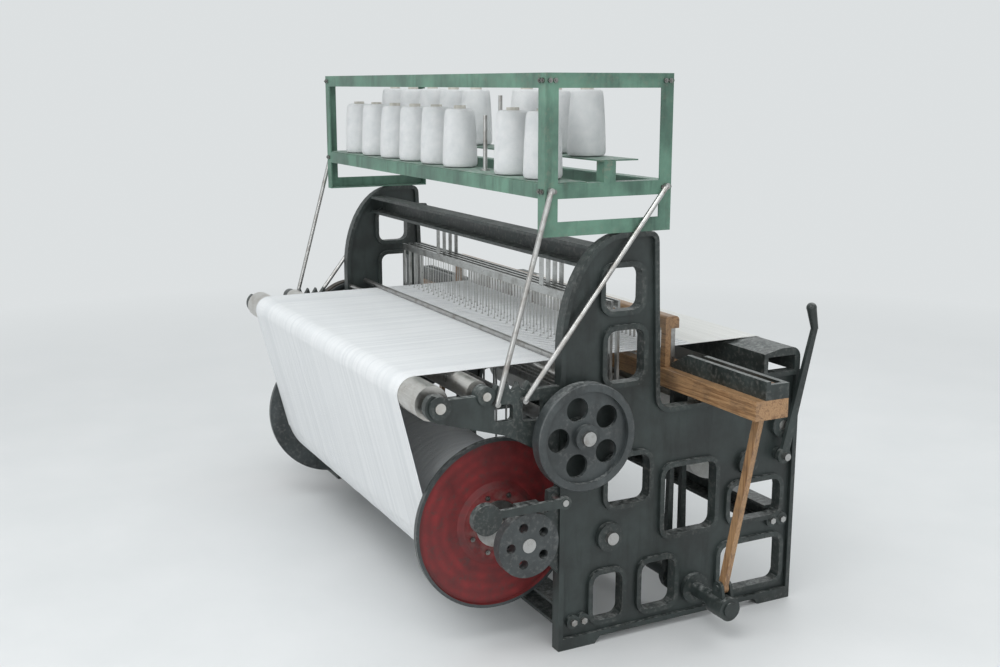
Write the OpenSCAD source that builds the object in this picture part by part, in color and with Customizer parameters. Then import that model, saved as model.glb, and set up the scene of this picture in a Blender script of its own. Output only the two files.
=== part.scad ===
// Power loom for plain cloth: cast side frames, crank-driven sley with two shuttle boxes,
// four heald frames, a rear warp beam under two rollers, a take-up motion in front and a
// painted angle-iron creel of yarn cones above.
// X runs across the cloth, Y from the weaver (-Y) to the warp beam (+Y), Z is up.

/* [Warp and cloth] */
// Width of the warp sheet and the cloth
warp_w = 1500; // [1300:10:1700]
// Height of the warp line above the floor
warp_z = 880; // [860:5:900]
// Thickness of the warp sheet and the cloth
sheet_t = 2; // [1.5:0.1:3]
// Number of warp bands between the healds and the fell
band_count = 60; // [40:2:100]
// Gap between two warp bands
band_gap = 7; // [5:0.5:9]

/* [Side frames] */
// Clear distance between the warp and each side frame
frame_clear = 150; // [140:2:180]
// Depth of a side frame's rim, along X
rim_t = 40; // [30:1:60]
// Thickness of a side frame's web
web_t = 14; // [8:1:24]
// Width of the rim round the outline and the windows
rim_w = 16; // [10:1:20]
// Y of the front face of the front leg
front_y = -560; // [-600:5:-540]
// Y of the rear face of the rear leg
rear_y = 345; // [335:5:370]
// Width of a leg at the floor
leg_w = 130; // [110:5:150]
// Height of the arch between the legs
under_z = 250; // [200:5:270]
// Height of the top of the arch over the healds
arch_z = 1290; // [1270:5:1330]

/* [Shafts and gears] */
// Radius of the crank shaft
crank_r = 22; // [18:1:26]
// Throw of the crank
throw_r = 70; // [55:1:75]
// Radius of the bottom shaft
bottom_r = 20; // [16:1:24]
// Y of the crank shaft
crank_y = 285; // [275:5:290]
// Height of the crank shaft
crank_z = 695; // [680:5:705]
// Y of the bottom shaft
bottom_y = 165; // [150:5:175]
// Height of the bottom shaft
bottom_z = 345; // [335:5:355]
// Teeth of the gear on the crank shaft
pinion_teeth = 30; // [24:2:36]
// Face width of the timing gears
gear_w = 34; // [24:2:44]
// Radius of the flywheel
flywheel_r = 165; // [140:5:180]
// Running clearance of a shaft in its bearing
run_gap = 0.08; // [0.05:0.01:0.1]

/* [Sley] */
// Y of the rocking shaft
rock_y = -165; // [-175:5:-160]
// Height of the rocking shaft
rock_z = 110; // [90:5:125]
// Y of the reed with the sley half way through its swing
reed_y = -150; // [-155:1:-145]
// Depth of the race board below the warp line
race_drop = 54; // [50:1:60]
// Thickness of the race board
race_t = 58; // [45:1:65]
// Depth of the race board, along Y
race_d = 118; // [100:2:125]
// Height of the reed between its ribs
reed_h = 118; // [112:1:130]
// Length of a shuttle box
box_l = 480; // [440:10:520]
// Length of the shuttle
shuttle_l = 370; // [320:5:400]
// Height of the shuttle
shuttle_h = 34; // [28:1:38]

/* [Healds] */
// Number of heald frames
heald_count = 4; // [4:1:4]
// Y of the first heald frame
heald_y = 52; // [48:1:60]
// Pitch of the heald frames
heald_pitch = 26; // [24:1:28]
// Height inside a heald frame
heald_h = 300; // [280:5:320]
// Lift of a heald frame each way
heald_lift = 45; // [30:1:50]
// Radius of a heald wire
wire_r = 1.2; // [0.8:0.1:1.5]

/* [Warp beam and rollers] */
// Y of the warp beam
beam_y = 470; // [465:5:500]
// Height of the warp beam
beam_z = 385; // [370:5:400]
// Radius of the beam flanges
flange_r = 275; // [240:5:285]
// Radius of the yarn wound on the beam
wound_r = 205; // [120:5:230]
// Radius of the beam's barrel
barrel_r = 75; // [60:5:100]
// Radius of the back rest roller
back_roller_r = 52; // [45:1:60]
// Y of the back rest roller
back_roller_y = 735; // [725:5:760]
// Radius of the guide roller
guide_roller_r = 34; // [28:1:38]
// Y of the guide roller
guide_roller_y = 590; // [580:5:610]

/* [Cloth side] */
// Radius of the take-up roller
take_up_r = 62; // [55:1:70]
// Height of the take-up roller
take_up_z = 620; // [600:5:640]
// Radius of the rolled cloth
cloth_roll_r = 110; // [60:5:120]
// Radius of the breast beam's nose
breast_r = 36; // [30:1:40]

/* [Creel] */
// Height of the creel's shelf
shelf_z = 1440; // [1420:5:1480]
// Height of the top of the creel
creel_z = 1750; // [1720:5:1800]
// Depth of the creel, along Y
creel_d = 430; // [380:10:480]
// Y of the middle of the creel
creel_y = 190; // [180:5:200]
// Leg of the creel's angle irons
angle_w = 42; // [36:1:50]
// Thickness of the creel's angle irons
angle_t = 5; // [4:0.5:7]
// Height of a yarn cone
cone_h = 205; // [160:5:230]
// Radius of a yarn cone at its foot
cone_r = 60; // [50:1:64]
// Yarn cones in a row
cone_count = 9; // [6:1:11]

/* [Hidden] */
$fn = 48;

iron = [0.11, 0.13, 0.13];
steel = [0.62, 0.63, 0.62];
green = [0.24, 0.42, 0.33];
red = [0.36, 0.09, 0.07];
white = [0.92, 0.93, 0.93];
wood = [0.45, 0.31, 0.19];
leather = [0.33, 0.22, 0.13];

seat_gap = 0.3;
side_gap = 3;
in_x = warp_w / 2 + frame_clear;
out_x = in_x + rim_t;
sword_t = 20;
sword_x = in_x - 92;
arm_t = 24;
arm_x = sword_x + sword_t + side_gap;
pin_r = 20;
web_x = arm_x - 7 - 18;
throw_end_x = arm_x + arm_t + 7 + 18;
pitch = warp_w / band_count;
race_z = warp_z - race_drop;
arm_pin_z = 640;
swing_deg = 7.4;
fell_y = reed_y - (warp_z - rock_z) * sin(swing_deg) - 8;
slot_end_y = heald_y + (heald_count - 1) * heald_pitch + 40;
back_roller_z = warp_z - sheet_t / 2 - seat_gap - back_roller_r;
guide_roller_z = warp_z - sheet_t / 2 - seat_gap - guide_roller_r;
nose_y = front_y + breast_r + 2;
nose_z = warp_z - sheet_t / 2 - seat_gap - breast_r;
take_up_y = nose_y - breast_r + take_up_r;
nip_deg = -40;
roll_reach = take_up_r + cloth_roll_r + sheet_t + 2 * seat_gap;
cloth_roll_y = take_up_y + roll_reach * cos(nip_deg);
cloth_roll_z = take_up_z + roll_reach * sin(nip_deg);
gear_distance = norm([crank_y - bottom_y, crank_z - bottom_z]);
gear_module = 2 * gear_distance / (3 * pinion_teeth);
gear_angle = atan2(crank_z - bottom_z, crank_y - bottom_y);
gear_x = out_x + 12;
pulley_x = gear_x + gear_w + 22;
pulley_w = 44;
pulley_r = 175;
motor_r = 86;
motor_y = 300;
motor_z = 150;
motor_pulley_r = 46;
heald_half = in_x - 112;
heald_bar = 26;
heald_t = 9;
roller_z = 1205;
heald_roller_r = heald_pitch / 2 - 1.25;
treadle_y = 300;
treadle_z = 205;
shuttle_d = 44;
shuttle_y = reed_y - 5 - shuttle_d / 2;
stick_pivot_x = out_x + 145;
stick_pivot_z = rock_z + 60;
stick_t = 18;
stick_out_deg = 13;
stick_in_deg = -9;
box_x = in_x - 96;
box_wall = 16;
box_h = 46;
rock_r = 24;
foot_rise = 22;
flywheel_w = 44;
flywheel_x = -(out_x + 14 + flywheel_w);
drum_x = in_x + 42;
drum_w = 38;
drum_r = 100;
lever_y = rear_y + 16;
lever_z = beam_z + drum_r + 22;
race_y0 = shuttle_y - shuttle_d / 2 - 20;
race_y1 = race_y0 + race_d;
box_end_x = box_x + box_l;
picker_rise = race_z + 26 - stick_pivot_z;
stick_out_x = stick_pivot_x + picker_rise * tan(stick_out_deg);
shuttle_x = -(stick_out_x - 16 - side_gap - shuttle_l / 2);
treadle_top = treadle_z + 17;
cam_r = 58;
cam_offset = 14;
sheet_x = warp_w / 2;
bolt_places = [[front_y + 46, 290], [front_y + 88, 290], [rear_y - 88, 88], [rear_y - 52, 88]];
handle_pivot = [front_y + 70, 520];
creel_y1 = creel_y + creel_d / 2;
creel_y0 = creel_y - creel_d / 2;
creel_x = out_x;
cone_pitch = (2 * creel_x - 150) / cone_count;
peg_r = 7;
cone_bore = 17;

// Points of an arc round c with radii rx and ry, from angle a0 to angle a1
function arc(c, rx, ry, a0, a1, steps = 12) =
  [for (i = [0:steps]) let (a = a0 + (a1 - a0) * i / steps) [c[0] + rx * cos(a), c[1] + ry * sin(a)]];
function reverse(list) = [for (i = [len(list) - 1:-1:0]) list[i]];
// Points of a flank, root to tip, of an involute-like tooth centred on angle mid
function tooth(mid, root, pitch_radius, tip, step) = [
  for (p = [[root, -0.34], [pitch_radius, -0.235], [tip, -0.11], [tip, 0.11], [pitch_radius, 0.235], [root, 0.34]])
    [p[0] * cos(mid + p[1] * step), p[0] * sin(mid + p[1] * step)]];
function gear_points(teeth, module_mm, start) = [
  for (i = [0:teeth - 1], p = tooth(start + 360 * i / teeth, module_mm * (teeth / 2 - 1.25),
    module_mm * teeth / 2, module_mm * (teeth / 2 + 0.9), 360 / teeth)) p];
// Tangent angle and outline of a loop round two pulleys
function loop_points(c1, r1, c2, r2) =
  let (d = c2 - c1, a = atan2(d[1], d[0]), t = acos((r1 - r2) / norm(d)))
  concat(arc(c1, r1, r1, a + t, a + 360 - t, 36), arc(c2, r2, r2, a - t, a + t, 18));

module plate(x0, t) {
  translate([x0, 0, 0]) rotate([90, 0, 90]) linear_extrude(t) children();
}
module rod(r, x0, x1, y, z) {
  translate([x0, y, z]) rotate([0, 90, 0]) cylinder(r = r, h = x1 - x0);
}
module both_sides() {
  children();
  mirror([1, 0, 0]) children();
}
module round_window(y0, z0, y1, z1, r = 34) {
  polygon(concat(
    arc([y1 - r, z1 - r], r, r, 0, 90, 5), arc([y0 + r, z1 - r], r, r, 90, 180, 5),
    arc([y0 + r, z0 + r], r, r, 180, 270, 5), arc([y1 - r, z0 + r], r, r, 270, 360, 5)));
}
module disc_2d(y, z, r) {
  translate([y, z]) circle(r);
}

// Side frame: one casting with feet, the arch over the healds and a rim round each window
module frame_outline() {
  polygon(concat(
    [[front_y, 0], [front_y + leg_w, 0], [front_y + leg_w + 20, foot_rise]],
    [[rear_y - leg_w - 20, foot_rise], [rear_y - leg_w, 0], [rear_y, 0]],
    frame_top(0)));
}
// The outline's upper part, set in by a distance: rear edge, arch, sley dip and breast seat
function frame_top(in) = concat(
  arc([130, 950], rear_y - 130 - in, arch_z - 950 - in, 0, 90, 14),
  arc([42, arch_z - 32], 32 - in, 32 - in, 90, 180, 4),
  arc([-48, 775], 40 + in, 40 + in, 0, -90, 5),
  arc([-340, 775], 40 + in, 40 + in, -90, -150, 5),
  [[front_y + 150, nose_z - breast_r - 6 - in], [front_y + in, nose_z - breast_r - 6 - in]]);
module frame_inset() {
  polygon(concat(
    [[front_y + rim_w, foot_rise + rim_w], [rear_y - rim_w, foot_rise + rim_w]], frame_top(rim_w)));
}
module frame_windows(grow) {
  for (w = [
    [front_y + 50, 74, -264, 232], [-84, 74, 44, 232], [116, 74, rear_y - 122, 226],
    [front_y + 60, 312, -296, 436], [-234, 312, -36, 536], [24, 444, 176, 596],
    [56, 834, 186, 996], [66, 1056, 196, 1186]])
    round_window(w[0] - grow, w[1] - grow, w[2] + grow, w[3] + grow, 30 + grow);
}
module frame_bores(extra) {
  disc_2d(crank_y, crank_z, crank_r + extra);
  disc_2d(bottom_y, bottom_z, bottom_r + extra);
  disc_2d(rock_y, rock_z, rock_r + extra);
  disc_2d(take_up_y, take_up_z, 16 + extra);
  disc_2d(cloth_roll_y, cloth_roll_z, 14 + extra);
}
module side_frame() {
  color(iron) difference() {
    union() {
      plate(in_x + (rim_t - web_t) / 2, web_t) frame_outline();
      plate(in_x, rim_t) difference() {
        frame_outline();
        frame_inset();
      }
      plate(in_x, rim_t) frame_windows(rim_w);
      plate(in_x - 6, rim_t + 12) frame_bores(26);
      plate(in_x, rim_t) for (p = concat(bolt_places, [handle_pivot])) disc_2d(p[0], p[1], 22);
    }
    plate(in_x - 1, rim_t + 2) frame_windows(0);
    plate(in_x - 10, rim_t + 20) frame_bores(run_gap);
  }
}
module side_frame_right() {
  side_frame();
}
module side_frame_left() {
  mirror([1, 0, 0]) side_frame();
}

// Front rail whose rounded nose turns the cloth downwards
module breast_beam() {
  color(iron) plate(-out_x, 2 * out_x) difference() {
    polygon(concat(
      [[front_y + 150, nose_z - breast_r - 6], [front_y + 150, nose_z + breast_r - 14]],
      [[nose_y + 40, nose_z + breast_r]],
      arc([nose_y, nose_z], breast_r, breast_r, 90, 180, 8),
      [[nose_y - breast_r, nose_z - breast_r - 6]]));
    polygon([[nose_y - 14, nose_z - breast_r - 8], [nose_y - 14, nose_z + 10],
      [front_y + 134, nose_z + 10], [front_y + 134, nose_z - breast_r - 8]]);
  }
}
module channel(y0, z0, y1, z1, wall) {
  plate(-in_x, 2 * in_x) polygon([[y0, z0], [y1, z0], [y1, z0 + wall], [y0 + wall, z0 + wall],
    [y0 + wall, z1 - wall], [y1, z1 - wall], [y1, z1], [y0, z1]]);
}
module front_girt() {
  color(iron) channel(front_y + 26, 250, front_y + 90, 330, 10);
}
// Rear rail with the fork that carries the treadles
module rear_girt() {
  color(iron) {
    channel(rear_y - 110, 50, rear_y - 30, 124, 10);
    difference() {
      for (x = [-38, -6, 26]) plate(x, 12) polygon([[treadle_y - 45, 124], [rear_y - 30, 124],
        [treadle_y + 16, treadle_z + 10], [treadle_y, treadle_z + 18], [treadle_y - 16, treadle_z + 10]]);
      rod(8 + run_gap, -50, 50, treadle_y, treadle_z);
    }
    rod(8, -40, 40, treadle_y, treadle_z);
  }
}
// Rail between the arches, with the hangers of the heald rollers
module top_girt() {
  hanger_y = heald_y - 4;
  color(iron) {
    channel(168, arch_z - 110, 232, arch_z - 40, 10);
    both_sides() difference() {
      plate(heald_half - 60, 12) polygon([[168, roller_z - 24], [168, roller_z + 30],
        [hanger_y, roller_z + 22], [hanger_y - 8, roller_z], [hanger_y, roller_z - 24]]);
      for (k = [0.5, 2.5]) rod(7 + run_gap, 0, in_x, heald_y + k * heald_pitch, roller_z);
    }
  }
}
// Cantilever brackets behind the arches that carry the two rollers under the warp
module roller_brackets() {
  tip_y = back_roller_y + 34;
  top_z = warp_z - 34;
  color(iron) both_sides() difference() {
    union() {
      plate(in_x + 8, 24) difference() {
        polygon(concat(
          [[rear_y, 730], [rear_y, top_z]],
          [for (i = [0:3]) each [[440 + 34 * i, top_z], [448 + 34 * i, top_z + 26], [462 + 34 * i, top_z + 4]]],
          [[600, top_z], [tip_y - 60, top_z]],
          arc([back_roller_y, back_roller_z], 44, 44, 60, -70, 8),
          [[640, 752], [520, 716], [rear_y + 60, 650], [rear_y, 610]]));
        round_window(400, 752, 470, 812, 12);
        round_window(500, 760, 560, 812, 12);
      }
      rod(34, in_x - 4, in_x + 40, back_roller_y, back_roller_z);
      rod(28, in_x - 4, in_x + 40, guide_roller_y, guide_roller_z);
    }
    rod(16 + run_gap, in_x - 20, in_x + 60, back_roller_y, back_roller_z);
    rod(13 + run_gap, in_x - 20, in_x + 60, guide_roller_y, guide_roller_z);
  }
}
// Arms behind the rear legs with the bearings of the warp beam
module beam_arms() {
  color(iron) both_sides() difference() {
    union() {
      plate(in_x + 8, 24) polygon(concat(
        [[rear_y, 255], [rear_y, 470]],
        arc([beam_y, beam_z], 52, 52, 80, -90, 8), [[rear_y + 30, 290]]));
      rod(44, in_x - 2, in_x + 38, beam_y, beam_z);
      plate(in_x + 8, 24) polygon([[rear_y, 420], [rear_y + 40, 420],
        [lever_y + 18, lever_z + 16], [rear_y, lever_z + 24]]);
    }
    rod(22 + run_gap, in_x - 20, in_x + 60, beam_y, beam_z);
  }
}
module hex_head(r, h, x, y, z) {
  translate([x, y, z]) rotate([0, 90, 0]) cylinder(r = r, h = h, $fn = 6);
}
module frame_bolts() {
  color(steel) both_sides() {
    for (p = bolt_places) hex_head(11, 9, out_x, p[0], p[1]);
  }
  color(steel) {
    rod(12, -(out_x + 44), -out_x, handle_pivot[0], handle_pivot[1]);
    rod(10, -(drum_x + drum_w + 24), -(in_x + 32), lever_y, lever_z);
  }
}

// Warp: from the wound beam over the back rest to the healds, in bands from there to the fell
module warp_sheet() {
  reach = back_roller_r + seat_gap + sheet_t / 2;
  wound = wound_r + seat_gap + sheet_t / 2;
  span = [back_roller_y - beam_y, back_roller_z - beam_z];
  leave_deg = atan2(span[1], span[0]) - acos((wound - reach) / norm(span));
  half = sheet_t / 2;
  color(white) difference() {
    plate(-sheet_x, 2 * sheet_x) polygon(concat(
      [[fell_y, warp_z + half]],
      arc([back_roller_y, back_roller_z], reach + half, reach + half, 90, leave_deg, 10),
      [[beam_y + (wound + half) * cos(leave_deg), beam_z + (wound + half) * sin(leave_deg)]],
      [[beam_y + (wound - half) * cos(leave_deg), beam_z + (wound - half) * sin(leave_deg)]],
      arc([back_roller_y, back_roller_z], reach - half, reach - half, leave_deg, 90, 10),
      [[fell_y, warp_z - half]]));
    for (i = [1:band_count - 1])
      translate([i * pitch - sheet_x - band_gap / 2, fell_y - 1, warp_z - 5])
        cube([band_gap, slot_end_y - fell_y + 1, 10]);
  }
}
// Cloth: over the breast beam and down round the take-up roller to the nip of the rolled cloth
module cloth_sheet() {
  turn = breast_r + seat_gap + sheet_t / 2;
  wrap = take_up_r + seat_gap + sheet_t / 2;
  half = sheet_t / 2;
  end_deg = 360 + nip_deg - 6;
  color(white) plate(-sheet_x, 2 * sheet_x) polygon(concat(
    [[fell_y, warp_z + half]],
    arc([nose_y, nose_z], turn + half, turn + half, 90, 180, 8),
    arc([take_up_y, take_up_z], wrap + half, wrap + half, 180, end_deg, 16),
    arc([take_up_y, take_up_z], wrap - half, wrap - half, end_deg, 180, 16),
    arc([nose_y, nose_z], turn - half, turn - half, 180, 90, 8),
    [[fell_y, warp_z - half]]));
}
// Two rods across the warp, one over it and one under it
module lease_rods() {
  rod_r = 9;
  for (p = [[265, 1], [330, -1]]) {
    rod_z = warp_z + p[1] * (sheet_t / 2 + seat_gap + rod_r);
    color(steel) rod(rod_r, -in_x, in_x, p[0], rod_z);
  }
}

// Creel of painted angle irons
module box(x0, x1, y0, y1, z0, z1) {
  translate([x0, y0, z0]) cube([x1 - x0, y1 - y0, z1 - z0]);
}
module rail_x(y, z, dy) {
  box(-creel_x, creel_x, min(y, y + dy * angle_w), max(y, y + dy * angle_w), z - angle_t, z);
  box(-creel_x, creel_x, min(y, y + dy * angle_t), max(y, y + dy * angle_t), z - angle_w, z);
}
module rail_y(z) {
  box(creel_x - angle_w, creel_x, creel_y0, creel_y1, z - angle_t, z);
  box(creel_x - angle_t, creel_x, creel_y0, creel_y1, z - angle_w, z);
}
module post(y, dy) {
  box(creel_x - angle_w, creel_x, min(y, y + dy * angle_t), max(y, y + dy * angle_t), arch_z, creel_z);
  box(creel_x - angle_t, creel_x, min(y, y + dy * angle_w), max(y, y + dy * angle_w), arch_z, creel_z);
}
module creel_frame() {
  color(green) {
    for (z = [shelf_z, creel_z]) {
      rail_x(creel_y0, z, 1);
      rail_x(creel_y1, z, -1);
    }
    both_sides() {
      for (z = [shelf_z, creel_z]) rail_y(z);
      box(creel_x - angle_t, creel_x, creel_y0, creel_y1, arch_z, arch_z + angle_w);
      box(in_x, creel_x, creel_y0, creel_y1, arch_z, arch_z + angle_t);
      post(creel_y0, 1);
      post(creel_y1, -1);
      box(creel_x - angle_w, creel_x, creel_y - 20, creel_y + 20, shelf_z, shelf_z + 60);
    }
  }
}
// Places of the cones: [x, y, foot height, is a cone there]
function cone_places() = [
  for (row = [0:1], i = [0:cone_count - 1])
    [(i - (cone_count - 1) / 2) * cone_pitch + (row - 0.5) * 44,
     row == 0 ? creel_y1 - angle_t - 70 : creel_y - 35,
     row == 0 ? shelf_z + 4 : shelf_z + 64,
     (i * 5 + row * 3) % 8 != 2]];
module creel_shelves() {
  color(green) {
    box(-creel_x + angle_t, creel_x - angle_t, creel_y1 - angle_t - 135, creel_y1 - angle_t, shelf_z, shelf_z + 4);
    box(-creel_x + angle_t, creel_x - angle_t, creel_y - 100, creel_y + 30, shelf_z + 60, shelf_z + 64);
  }
}
module creel_pegs() {
  color(steel) for (p = cone_places()) translate([p[0], p[1], p[2]]) {
    cylinder(r = peg_r, h = cone_h * 0.86);
    cylinder(r = cone_bore - 1.5, h = 6);
  }
}
module yarn_cones() {
  color(white) for (p = cone_places()) if (p[3])
    translate([p[0], p[1], p[2]]) rotate_extrude() polygon(concat(
      [[cone_bore, 0], [cone_r - 5, 0], [cone_r, 5]],
      arc([cone_r * 0.8 - 8, cone_h - 20], 8, 8, 5, 90, 4),
      [[cone_bore + 5, cone_h - 13], [cone_bore + 3, cone_h], [cone_bore, cone_h]]));
}
module strut(p, q, r) {
  d = q - p;
  translate(p) rotate([0, acos(d[2] / norm(d)), atan2(d[1], d[0])]) cylinder(r = r, h = norm(d));
}
module creel_stays() {
  stay_x = creel_x + 8;
  foot = [stay_x, 560, warp_z - 60];
  head = [stay_x, creel_y1 - 16, shelf_z - 18];
  color(steel) both_sides() {
    strut(foot, head, 8);
    strut([stay_x, foot[1] - 90, foot[2]], [stay_x, creel_y0 + 20, shelf_z - 18], 8);
    for (y = [foot[1], foot[1] - 90]) rod(9, in_x + 32, stay_x + 6, y, foot[2]);
    for (y = [head[1], creel_y0 + 20]) rod(9, creel_x, stay_x + 6, y, head[2]);
  }
}

// Crank shaft with a throw at each end, just inside the side frames
module web_2d() {
  disc_2d(crank_y, crank_z, 36);
  disc_2d(crank_y, crank_z + throw_r, 32);
  translate([crank_y - 30, crank_z]) square([60, throw_r]);
}
module crank_shaft() {
  color(steel) {
    rod(crank_r, -web_x, web_x, crank_y, crank_z);
    rod(crank_r, throw_end_x, pulley_x + pulley_w + 16, crank_y, crank_z);
    rod(crank_r, flywheel_x - 12, -throw_end_x, crank_y, crank_z);
    both_sides() {
      plate(web_x, 18) web_2d();
      plate(throw_end_x - 18, 18) web_2d();
      rod(pin_r, web_x + 18, throw_end_x - 18, crank_y, crank_z + throw_r);
    }
  }
}
module spoked_gear(teeth, start, y, z, bore, windows) {
  outer = gear_module * teeth / 2;
  color(iron) plate(gear_x, gear_w) difference() {
    translate([y, z]) polygon(gear_points(teeth, gear_module, start));
    disc_2d(y, z, bore);
    for (i = [1:windows]) translate([y, z]) rotate(360 * i / windows)
      translate([outer * 0.52, 0]) circle(r = outer * 0.24);
  }
}
module crank_gear() {
  spoked_gear(pinion_teeth, gear_angle + 180, crank_y, crank_z, crank_r, 4);
}
module bottom_gear() {
  spoked_gear(2 * pinion_teeth, gear_angle + 90 / pinion_teeth, bottom_y, bottom_z, bottom_r, 6);
}
// Wheel turned from a rim, a web and a hub
module turned_wheel(r, w, bore, rim, web) {
  rotate([0, 90, 0]) rotate_extrude() polygon([
    [bore, 0], [bore + 18, 0], [bore + 18, (w - web) / 2], [r - rim, (w - web) / 2], [r - rim, 0], [r - 3, 0],
    [r, 3], [r, w - 3], [r - 3, w], [r - rim, w], [r - rim, (w + web) / 2], [bore + 18, (w + web) / 2],
    [bore + 18, w], [bore, w]]);
}
module wheel_with_windows(r, w, bore, rim, web, count) {
  difference() {
    turned_wheel(r, w, bore, rim, web);
    for (i = [1:count]) rotate([360 * i / count, 0, 0])
      translate([-1, (bore + 18 + r - rim) / 2, 0]) rotate([0, 90, 0])
        cylinder(r = (r - rim - bore - 18) * 0.36, h = w + 2);
  }
}
module drive_pulley() {
  color(iron) translate([pulley_x, crank_y, crank_z]) wheel_with_windows(pulley_r, pulley_w, crank_r, 16, 10, 5);
}
module flywheel() {
  color(iron) translate([flywheel_x, crank_y, crank_z]) wheel_with_windows(flywheel_r, flywheel_w, crank_r, 24, 12, 5);
}
// Connecting arm between the crank pin and the sley, its far eye standing beside the sword
module crank_arm() {
  big = [crank_y, crank_z + throw_r];
  small = [rock_y, arm_pin_z];
  span = small - big;
  color(iron) {
    difference() {
      plate(arm_x, arm_t) {
        disc_2d(big[0], big[1], 40);
        disc_2d(small[0], small[1], 28);
        translate(big) rotate(atan2(span[1], span[0])) {
          polygon([[0, -24], [norm(span), -15], [norm(span), 15], [0, 24]]);
          translate([-4, -56]) square([8, 112]);
        }
      }
      rod(pin_r + run_gap, arm_x - 10, arm_x + arm_t + 10, big[0], big[1]);
    }
    rod(15, arm_x - side_gap / 2, arm_x + arm_t + 8, small[0], small[1]);
  }
}
module crank_arm_right() {
  crank_arm();
}
module crank_arm_left() {
  mirror([1, 0, 0]) crank_arm();
}

// Bottom shaft at half the crank's speed, with the tappets over the treadles
module bottom_shaft() {
  color(steel) rod(bottom_r, -(out_x + 20), gear_x + gear_w + 8, bottom_y, bottom_z);
}
module tappets() {
  color(iron) for (s = [-1, 1]) difference() {
    plate(s * 16 - 7, 14) disc_2d(bottom_y + s * cam_offset, bottom_z, cam_r);
    rod(bottom_r, -60, 60, bottom_y, bottom_z);
  }
}
module treadle(x) {
  bowl_y = bottom_y;
  tip_y = heald_y - 14;
  color(iron) difference() {
    plate(x - 7, 14) {
      disc_2d(treadle_y, treadle_z, 17);
      polygon([[treadle_y, treadle_z - 17], [treadle_y, treadle_top - 2],
        [tip_y, treadle_top], [tip_y, treadle_z - 9]]);
      disc_2d(bowl_y, treadle_top, 15);
    }
    rod(8 + run_gap, x - 20, x + 20, treadle_y, treadle_z);
  }
}
module treadle_1() {
  treadle(-16);
}
module treadle_2() {
  treadle(16);
}

// Sley: rocking shaft, swords, race board, reed and shuttle boxes
module rocking_shaft() {
  ear_y = stick_t / 2 + 2;
  color(iron) {
    rod(rock_r, -(stick_pivot_x + 45), stick_pivot_x + 45, rock_y, rock_z);
    both_sides() {
      difference() {
        union() {
          rod(rock_r + 14, stick_pivot_x - 40, stick_pivot_x + 40, rock_y, rock_z);
          for (s = [-1, 1]) translate([stick_pivot_x, rock_y + s * (ear_y + 5) + 5, 0])
            rotate([90, 0, 0]) linear_extrude(10) polygon(concat([[-36, rock_z], [36, rock_z]],
              arc([0, stick_pivot_z], 22, 22, 0, 180, 10)));
        }
        translate([stick_pivot_x, rock_y + 60, stick_pivot_z]) rotate([90, 0, 0]) cylinder(r = 10, h = 120);
        translate([stick_pivot_x - 60, rock_y - ear_y, stick_pivot_z - 24])
          cube([120, 2 * ear_y, 60]);
      }
      translate([stick_pivot_x, rock_y + 26, stick_pivot_z]) rotate([90, 0, 0]) cylinder(r = 10, h = 52);
    }
  }
}
module sley_swords() {
  foot_z = race_z - race_t;
  color(iron) both_sides() difference() {
    union() {
      plate(sword_x, sword_t) {
        disc_2d(rock_y, rock_z, 48);
        disc_2d(rock_y, arm_pin_z, 36);
        polygon([[rock_y - 40, rock_z], [rock_y + 40, rock_z], [rock_y + 27, foot_z], [rock_y - 27, foot_z]]);
      }
      rod(42, sword_x - 14, sword_x + 6, rock_y, rock_z);
      translate([sword_x - 50, rock_y - 44, foot_z - 12]) cube([50 + sword_t, 88, 12]);
    }
    rod(rock_r, sword_x - 20, sword_x + 60, rock_y, rock_z);
    plate(sword_x - 1, sword_t + 2) round_window(rock_y - 16, 240, rock_y + 16, 540, 12);
  }
}
module race_board() {
  slot_x = stick_pivot_x - 140;
  color(wood) difference() {
    translate([-box_end_x, race_y0, race_z - race_t]) cube([2 * box_end_x, race_d, race_t]);
    translate([-box_x, reed_y - 4, race_z - 15]) cube([2 * box_x, 16, 16]);
    both_sides() translate([slot_x, rock_y - stick_t / 2 - 2, race_z - race_t - 1])
      cube([box_end_x - 16 - slot_x, stick_t + 4, race_t + 2]);
  }
}
module reed() {
  color(steel) {
    for (z = [race_z - 15, race_z + reed_h - 8])
      translate([-box_x + 1, reed_y - 4, z]) cube([2 * box_x - 2, 15.5, 15]);
    for (i = [1:band_count - 1])
      translate([i * pitch - sheet_x - 0.7, reed_y - 2, race_z - 2]) cube([1.4, 8, reed_h]);
    both_sides() translate([box_x - 10, reed_y - 4, race_z - 2]) cube([9, 15.5, reed_h]);
  }
}
module reed_cap() {
  cap_z = race_z + reed_h + 7;
  color(wood) {
    plate(-box_x, 2 * box_x) polygon(concat(
      [[reed_y - 18, cap_z]], [[reed_y + 34, cap_z]],
      arc([reed_y + 20, cap_z + 26], 14, 14, 0, 90, 5), arc([reed_y - 4, cap_z + 26], 14, 14, 90, 180, 5)));
    both_sides() translate([box_x - 26, reed_y + 13, race_z]) cube([26, 20, cap_z - race_z]);
  }
}
module shuttle_boxes() {
  front_wall = shuttle_y - shuttle_d / 2 - 3;
  back_wall = shuttle_y + shuttle_d / 2 + 3;
  color(iron) both_sides() {
    for (w = [[race_y0, front_wall, 0], [back_wall, back_wall + box_wall, 10]])
      translate([0, w[1], 0]) rotate([90, 0, 0]) linear_extrude(w[1] - w[0]) polygon([
        [box_x + 8, race_z], [box_end_x, race_z], [box_end_x, race_z + box_h + w[2]],
        [box_x + 90, race_z + box_h + w[2]], [box_x + 8, race_z + 14]]);
    box(box_end_x - 14, box_end_x, front_wall, back_wall, race_z, race_z + box_h);
    box(box_x + 150, box_x + 380, race_y0 - 6, race_y0, race_z - race_t + 8, race_z + 8);
  }
}
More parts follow.
